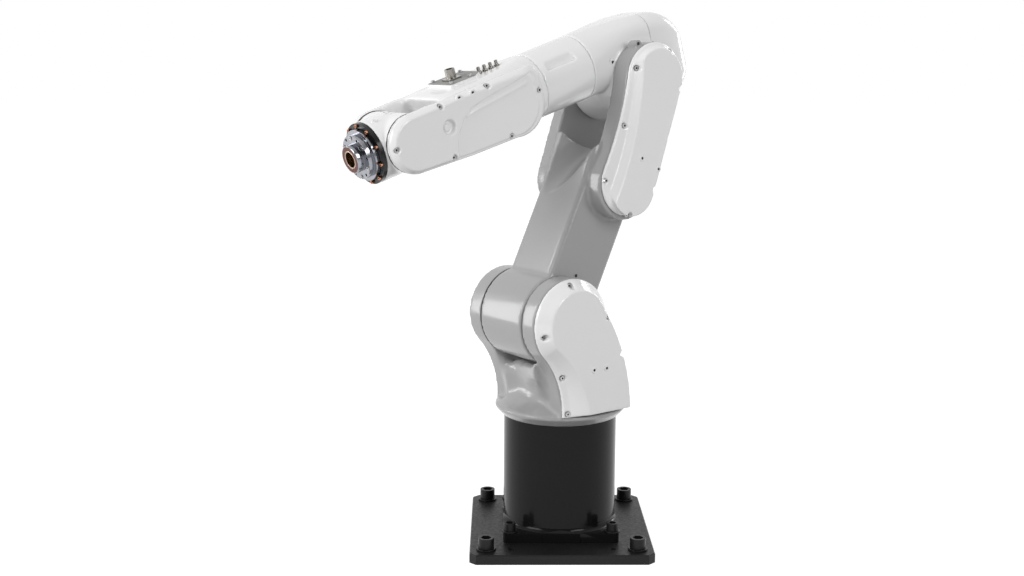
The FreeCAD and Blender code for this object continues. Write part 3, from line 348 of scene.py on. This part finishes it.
charcoal_gloss = stoved_paint("charcoal_gloss_paint", "#141414", 0.16, 1.24, 0, 6)
surface("base_housing", charcoal_gloss, 1.2)
surface("connector_panel", charcoal_gloss, 0.8)


# Rear connectors: a moulded black power inlet, a nickel-plated signal inlet and two plated
# push-in couplings for air. Six zinc-plated screws hold the panel. The nickel is warm and
# mirrors the room, the zinc is paler and duller.
def plain(name, colour, metallic, roughness):
    """A finish without grain: moulded plastic, rubber, plating or turned metal."""
    made, _, shader = new_material(name)
    shader.inputs["Base Color"].default_value = linear(colour)
    shader.inputs["Metallic"].default_value = metallic
    shader.inputs["Roughness"].default_value = roughness
    return made


black_moulding = plain("black_polyamide", "#1D1D1E", 0, 0.5)
nickel_plate = plain("nickel_plating", "#96938E", 1, 0.2)
bright_steel = plain("zinc_plated_screws", "#B9B9BA", 1, 0.3)
surface("power_inlet", black_moulding, 0.6)
surface("signal_inlet", nickel_plate, 0.4)
surface("air_couplings", nickel_plate, 0.4)
surface("panel_screws", bright_steel, 0.3)

# Motors and reducers: natural aluminium cases, bolted inside the castings.
# Only slivers of their dull metal show through the running gaps.
drive_metal = plain("natural_aluminium", "#8E9092", 1, 0.45)
for drive in (
    "turret_reducer",
    "turret_motor",
    "shoulder_reducer",
    "shoulder_motor",
    "elbow_reducer",
    "elbow_motor",
    "forearm_roll_drive",
):
    surface(drive, drive_metal, 0)

# Turret: a sand casting in light grey paint, which turns on the column and has two ears for the
# shoulder. The satin paint is softer than that of the covers. Between the ears the pattern
# maker's large radii run together in a saddle, worn much rounder than the other edges.
grey_paint = stoved_paint("light_grey_paint", "#9E9E9E", 0.26, 1.45, 0.4, 9)


def soften(shell, verts, rounds):
    """Draws each vertex half of the way to the middle of its neighbours, round after round."""
    for _ in range(rounds):
        bmesh.ops.smooth_vert(
            shell, verts=verts, factor=0.5, use_axis_x=True, use_axis_y=True, use_axis_z=True
        )


def moulded(node, finish, grain_mm, rounds):
    """A CAD node as a mould gives it: an even, dense skin whose edges are worn round."""
    piece = surface(node, finish, 0)
    cast = piece.modifiers.new("even_skin", "REMESH")
    cast.mode = "VOXEL"
    cast.voxel_size = grain_mm / 1000
    bpy.context.view_layer.update()
    even = bpy.data.meshes.new_from_object(
        piece.evaluated_get(bpy.context.evaluated_depsgraph_get())
    )
    piece.modifiers.clear()
    shell = bmesh.new()
    shell.from_mesh(even)
    soften(shell, shell.verts, rounds)
    for face in shell.faces:
        face.smooth = True
    shell.to_mesh(piece.data)
    shell.free()
    bpy.data.meshes.remove(even)
    return piece


def wear(skin, link, middle, reach_mm, rounds):
    """Wears a skin further about a point of its link, in mm, and ever less towards the reach."""
    shares = (1, 0.9, 0.8, 0.7, 0.6)
    centre = link @ Vector([part / 1000 for part in middle])
    shell = bmesh.new()
    shell.from_mesh(skin.data)
    for share in shares:
        reach = reach_mm / 1000 * share
        worn = [v for v in shell.verts if (v.co - centre).length < reach]
        soften(shell, worn, rounds // len(shares))
    shell.to_mesh(skin.data)
    shell.free()


turret_frame = Matrix.Rotation(math.radians(-143.5), 4, "Z")
turret_skin = moulded("shoulder_casting", grey_paint, 2.2, 4)
for side, reach_mm in ((-30, 46), (0, 46), (30, 39)):
    wear(turret_skin, turret_frame, (82, side, 260), reach_mm, 100)

# Upper arm: a hollow sand casting in the turret's grey. Its drum turns between the turret's ears
# on a bolted reducer, and its two cheeks hold the elbow and the elbow's motor.
shoulder_pivot = turret_frame @ Matrix.Translation((0.05, 0, 0.36))
upper_arm_frame = shoulder_pivot @ Matrix.Rotation(math.radians(-25.2), 4, "Y")
arm_skin = moulded("upper_arm_casting", grey_paint, 2.2, 4)


# Shoulder's running gap: a thin black ring set in the far ear's gap as painted shade.
# It is the dark line between the drum and that ear.
def turned(name, profile, seat, finish, body, slot):
    """A piece spun about its seat's Z axis from points of radius and height in millimetres."""
    shell = bmesh.new()
    points = [shell.verts.new((radius / 1000, 0, height / 1000)) for radius, height in profile]
    outline = [shell.edges.new(pair) for pair in zip(points, points[1:])]
    starts_on_axis = profile[0][0] == 0
    if not starts_on_axis:
        outline.append(shell.edges.new((points[-1], points[0])))
    bmesh.ops.spin(
        shell,
        geom=points + outline,
        cent=(0, 0, 0),
        axis=(0, 0, 1),
        angle=math.tau,
        steps=48,
        use_merge=True,
    )
    bmesh.ops.remove_doubles(shell, verts=shell.verts, dist=0.001 / 1000)
    bmesh.ops.recalc_face_normals(shell, faces=shell.faces)
    bmesh.ops.transform(shell, matrix=seat, verts=shell.verts)
    for face in shell.faces:
        face.smooth = True
    made = bpy.data.meshes.new(name)
    shell.to_mesh(made)
    shell.free()
    made.set_sharp_from_angle(angle=math.radians(30))
    made.materials.append(finish)
    piece = bpy.data.objects.new(name, made)
    scene.collection.objects.link(piece)
    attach(piece, body)
    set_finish(piece, slot)


# A matt black that paints shade: the dark of running gaps, insert bores and screw sockets.
painted_shade_black = plain("matt_black_painted_shade", "#0E0E0E", 0, 0.6)
leftward = Matrix.Rotation(math.radians(-90), 4, "X")
turned(
    "shoulder_gap_painted_shade",
    [(58, -51.6), (68.6, -51.6), (68.6, -49), (58, -49)],
    shoulder_pivot @ leftward,
    painted_shade_black,
    turret_skin["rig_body"],
    "black_plastic",
)


# Tapped inserts of the upper arm: painted bosses for cable brackets, whose threaded bore is dark
# with painted shade.
# One stands on the lug of the near cheek and one at the column's foot.
def insert(name, skin, link, facing, across, along, bore):
    """A boss on the skin's near side at X and Z of its link, or on its top at X and Y, in mm."""
    outside = 0.2
    if facing == "near":
        seat = link @ Matrix.Translation((across / 1000, outside, along / 1000)) @ leftward
    else:
        seat = link @ Matrix.Translation((across / 1000, along / 1000, outside))
    bpy.context.view_layer.update()
    _, spot, _, _ = skin.ray_cast(seat.translation, seat.to_3x3() @ Vector((0, 0, -1)))
    seat.translation = spot
    foot, top, wall = -2, 1.3, 2.8
    boss = bore + wall
    turned(
        name + "_boss",
        [
            (bore, foot),
            (bore, top - 0.4),
            (bore + 0.4, top),
            (boss - 0.6, top),
            (boss, top - 0.7),
            (boss, foot),
        ],
        seat,
        skin.data.materials[0],
        skin["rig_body"],
        skin["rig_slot"],
    )
    # Painted shade of the bore: a black disc set just below the boss's top.
    shadow_top, shadow_radius = top - 0.5, bore + 0.1
    shadow_foot = foot + 0.2
    turned(
        name + "_bore_painted_shade",
        [
            (0, shadow_top),
            (shadow_radius, shadow_top),
            (shadow_radius, shadow_foot),
            (0, shadow_foot),
        ],
        seat,
        painted_shade_black,
        skin["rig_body"],
        "black_plastic",
    )


insert("cheek_lug_insert", arm_skin, upper_arm_frame, "near", 55, 431.5, 2.6)
insert("column_foot_insert", arm_skin, upper_arm_frame, "near", -6, 74, 2.6)

# Pivot caps: cast lids in the same grey over the far ends of the two shafts.
# Six screws hold each, and their machined rims are only just broken.
surface("shoulder_pivot_cap", grey_paint, 1.0)
surface("elbow_pivot_cap", grey_paint, 1.0)

# Elbow: a casting in white gloss paint that carries the forearm, closed at the rear by a cover
# in the same paint. The gloss is hard and smooth, so the soft boxes show in it as bright patches.
white_paint = stoved_paint("white_gloss_paint", "#ECECEC", 0.2, 1.48, 0.5, 8)
elbow_frame = (
    upper_arm_frame
    @ Matrix.Translation((0, 0, 0.4))
    @ Matrix.Rotation(math.radians(42.9), 4, "Y")
)
elbow_skin = moulded("elbow_casting", white_paint, 1.6, 4)
surface("elbow_rear_cover", white_paint, 2.0)
insert("elbow_insert", elbow_skin, elbow_frame, "near", 50, 41, 2.4)

# Forearm: a cast tube and a cast fork, white like the elbow and bolted end to end.
# The throat between the fork's arms is worn rounder than the other edges.
forearm_frame = elbow_frame @ Matrix.Translation((0, 0, 0.045))
moulded("forearm_tube", white_paint, 1.6, 4)
forearm_skin = moulded("forearm_casting", white_paint, 1.8, 4)
for side in (-30, 0, 30):
    wear(forearm_skin, elbow_frame, (362, side, 75), 34, 60)

# Wrist: a white casting that tilts in the fork, with a round cap over the far arm's bearing.
# Two tapped inserts stand on top, behind the flange.
wrist_frame = elbow_frame @ Matrix.Translation((0.43, 0, 0.045))
wrist_skin = moulded("wrist_casting", white_paint, 1.6, 4)
surface("wrist_pivot_cap", white_paint, 1.5)
insert("wrist_insert_1", wrist_skin, wrist_frame, "up", 6, 5, 2.2)
insert("wrist_insert_2", wrist_skin, wrist_frame, "up", 31, 15, 2.2)

# Wrist gaps: two thin black rings set in the gaps between the fork's arms and the wrist as painted
# shade.
# They are the thin dark arcs at either side of the wrist.
for side, start, end in (("near", 44.4, 46.4), ("far", -46.4, -44.4)):
    turned(
        "wrist_gap_painted_shade_" + side,
        [(30, start), (41.5, start), (41.5, end), (30, end)],
        wrist_frame @ leftward,
        painted_shade_black,
        forearm_skin["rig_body"],
        "black_plastic",
    )

# Shoulder and elbow covers: moulded shells, painted with the white castings and held at their
# rims by small screws. Each has two tapped inserts for cable brackets.
shoulder_cover_skin = moulded("shoulder_cover", white_paint, 1.3, 5)
insert("shoulder_cover_insert_1", shoulder_cover_skin, turret_frame, "near", 20.7, 288.9, 2.1)
insert("shoulder_cover_insert_2", shoulder_cover_skin, turret_frame, "near", -4.1, 288.8, 2.1)
elbow_cover_skin = moulded("elbow_drive_cover", white_paint, 1.3, 5)
insert("elbow_cover_insert_1", elbow_cover_skin, upper_arm_frame, "near", -12.5, 273.6, 2.1)
insert("elbow_cover_insert_2", elbow_cover_skin, upper_arm_frame, "near", -51, 272, 2.1)

# Forearm cover: the longest moulded shell, over the wrist's belts. Its field is set back behind
# a sweeping crease, with two low ribs above, and the mould left a round dimple with a nub in it.
# Places on it are X and Z of the forearm in millimetres, and heights stand out of its near face.
crease = [(371, -60), (371, -32), (364, -10), (348, 8), (331, 19), (302, 24), (255, 29), (205, 37)]
crease_half_width = 1.8
setback = 2.4
ribs = [([(340, 10), (327, 13), (281, 17), (232, 22)], 2.2), ([(290, 41), (240, 41)], 1.2)]
rib_reach = 5
dimple_middle, dimple_radius, dimple_slope, dimple_depth = Vector((375, 5)), 11.5, 3, 7
nub_middle, nub_radius, nub_slope, nub_height = Vector((377, 5)), 6.5, 2, 4
rim_starts, face_starts = 56.5, 60


def off_path(point, path):
    """The distance from a path of straight steps, positive on its left."""
    nearest = math.inf
    for start, end in zip(path, path[1:]):
        step = Vector(end) - Vector(start)
        reach = point - Vector(start)
        along = max(0, min(1, reach.dot(step) / step.length_squared))
        gap = reach - along * step
        if gap.length < abs(nearest):
            nearest = math.copysign(gap.length, step.x * reach.y - step.y * reach.x)
    return nearest


def ramp(value, low, high):
    """A soft step from 0 to 1 between two values."""
    share = max(0, min(1, (value - low) / (high - low)))
    return share * share * (3 - 2 * share)


def round_spot(point, middle, radius, slope):
    """1 on a round spot, 0 outside it, with a soft slope inside its rim."""
    return 1 - ramp((point - middle).length, radius - slope, radius)


forearm_cover_skin = moulded("forearm_side_cover", white_paint, 1.2, 5)
into_forearm = forearm_frame.inverted()
cover_shell = bmesh.new()
cover_shell.from_mesh(forearm_cover_skin.data)
for vert in cover_shell.verts:
    local = into_forearm @ vert.co * 1000
    place = Vector((local.x, local.z))
    outer = ramp(local.y, rim_starts, face_starts)
    if outer == 0:
        continue
    lift = -setback * ramp(off_path(place, crease), -crease_half_width, crease_half_width)
    for path, height in ribs:
        lift += height * (1 - ramp(abs(off_path(place, path)), 0, rib_reach))
    lift -= dimple_depth * round_spot(place, dimple_middle, dimple_radius, dimple_slope)
    lift += nub_height * round_spot(place, nub_middle, nub_radius, nub_slope)
    vert.co += forearm_frame.to_3x3() @ Vector((0, outer * lift / 1000, 0))
cover_shell.to_mesh(forearm_cover_skin.data)
cover_shell.free()
insert("forearm_cover_insert_1", forearm_cover_skin, forearm_frame, "near", 347.3, 38.2, 2.1)
insert("forearm_cover_insert_2", forearm_cover_skin, forearm_frame, "near", 323.8, 38, 2.1)


# Cover and cap screws: small zinc-plated socket screws at the rims of the covers and caps.
# Their hexagons are painted black as their shade, so each shows a dark middle.
def paint_socket_shade(piece, link, axis):
    """Paints the shade in the hexagon of each screw that looks along an axis of its link, in
    black.
    """
    below_head = 1 / 1000
    socket_reach = 1.9 / 1000
    faces_out, faces_aside = 0.9, 0.5
    # The hexagon's floor and walls take the black of painted shade.
    piece.data.materials.append(painted_shade_black)
    into_link = link.inverted()
    into_turn = into_link.to_3x3()
    outward = Vector(axis)
    top = max((into_link @ v.co).dot(outward) for v in piece.data.vertices)
    floors = []
    for face in piece.data.polygons:
        height = (into_link @ face.center).dot(outward)
        if (into_turn @ face.normal).dot(outward) > faces_out and height < top - below_head:
            face.material_index = 1
            floors.append(into_link @ face.center)
    for face in piece.data.polygons:
        if abs((into_turn @ face.normal).dot(outward)) < faces_aside:
            gaps = [(into_link @ face.center) - socket_floor for socket_floor in floors]
            if any((gap - gap.dot(outward) * outward).length < socket_reach for gap in gaps):
                face.material_index = 1


near, far, up = (0, 1, 0), (0, -1, 0), (0, 0, 1)
for screws, link, axis in (
    ("shoulder_cover_screws", turret_frame, near),
    ("shoulder_cap_screws", turret_frame, far),
    ("elbow_drive_cover_screws", upper_arm_frame, near),
    ("elbow_cap_screws", upper_arm_frame, far),
    ("forearm_cover_screws", forearm_frame, near),
    ("platform_screws", forearm_frame, up),
):
    paint_socket_shade(surface(screws, bright_steel, 0.2), link, axis)

# Gasket under the tool socket: grey paper, cut to the forearm's platform and held by its screws.
# Its matt face is the only bare grey on the white forearm.
gasket_outline = ((273, -29), (335, -29), (335, 28), (290, 28), (273, 13.5))
gasket_foot = 51.8
gasket_thickness = 0.6
gasket_paper = plain("grey_gasket_paper", "#9A9A98", 0, 0.75)
gasket = bmesh.new()
corners = [gasket.verts.new((x / 1000, y / 1000, gasket_foot / 1000)) for x, y in gasket_outline]
raised = bmesh.ops.extrude_face_region(gasket, geom=[gasket.faces.new(corners)])["geom"]
raised_corners = [part for part in raised if isinstance(part, bmesh.types.BMVert)]
bmesh.ops.translate(gasket, verts=raised_corners, vec=(0, 0, gasket_thickness / 1000))
bmesh.ops.recalc_face_normals(gasket, faces=gasket.faces)
bmesh.ops.transform(gasket, matrix=forearm_frame, verts=gasket.verts)
gasket_mesh = bpy.data.meshes.new("platform_gasket")
gasket.to_mesh(gasket_mesh)
gasket.free()
gasket_mesh.materials.append(gasket_paper)
platform_gasket = bpy.data.objects.new("platform_gasket", gasket_mesh)
scene.collection.objects.link(platform_gasket)
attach(platform_gasket, forearm_skin["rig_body"])
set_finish(platform_gasket, "white_paint")

# Forearm fittings: a nickel-plated socket for the tool's cable and four plated stubs for air.
# They are screwed into the platform and the casting behind it.
surface("tool_connector", nickel_plate, 0.3)
surface("air_ports", nickel_plate, 0.3)

# Seal ring of the wrist: a black anodised ring that closes the reducer, held by ten screws.
# The ring is dark and smooth, and the screws' copper flash makes them stand out on it.
ring_black = plain("black_anodised_ring", "#0F0F10", 0.3, 0.2)
copper_tone = plain("copper_flashed_screws", "#B98467", 1, 0.25)
surface("seal_ring", ring_black, 0.6)
surface("seal_ring_screws", copper_tone, 0.3)

# Tool flange: turned steel that mirrors the room in rings, held by six screws, with a bronze
# sleeve through its hollow shaft and a brown fibre ring round the sleeve's mouth.
turned_steel = plain("turned_steel", "#96989E", 1, 0.14)
sleeve_bronze = plain("sintered_bronze", "#B9A088", 1, 0.22)
gasket_brown = plain("brown_fibre_gasket", "#5A2A20", 0, 0.55)
surface("tool_flange", turned_steel, 0.5)
surface("flange_screws", bright_steel, 0.3)
surface("hollow_sleeve", sleeve_bronze, 0.3)
surface("face_ring", gasket_brown, 0)
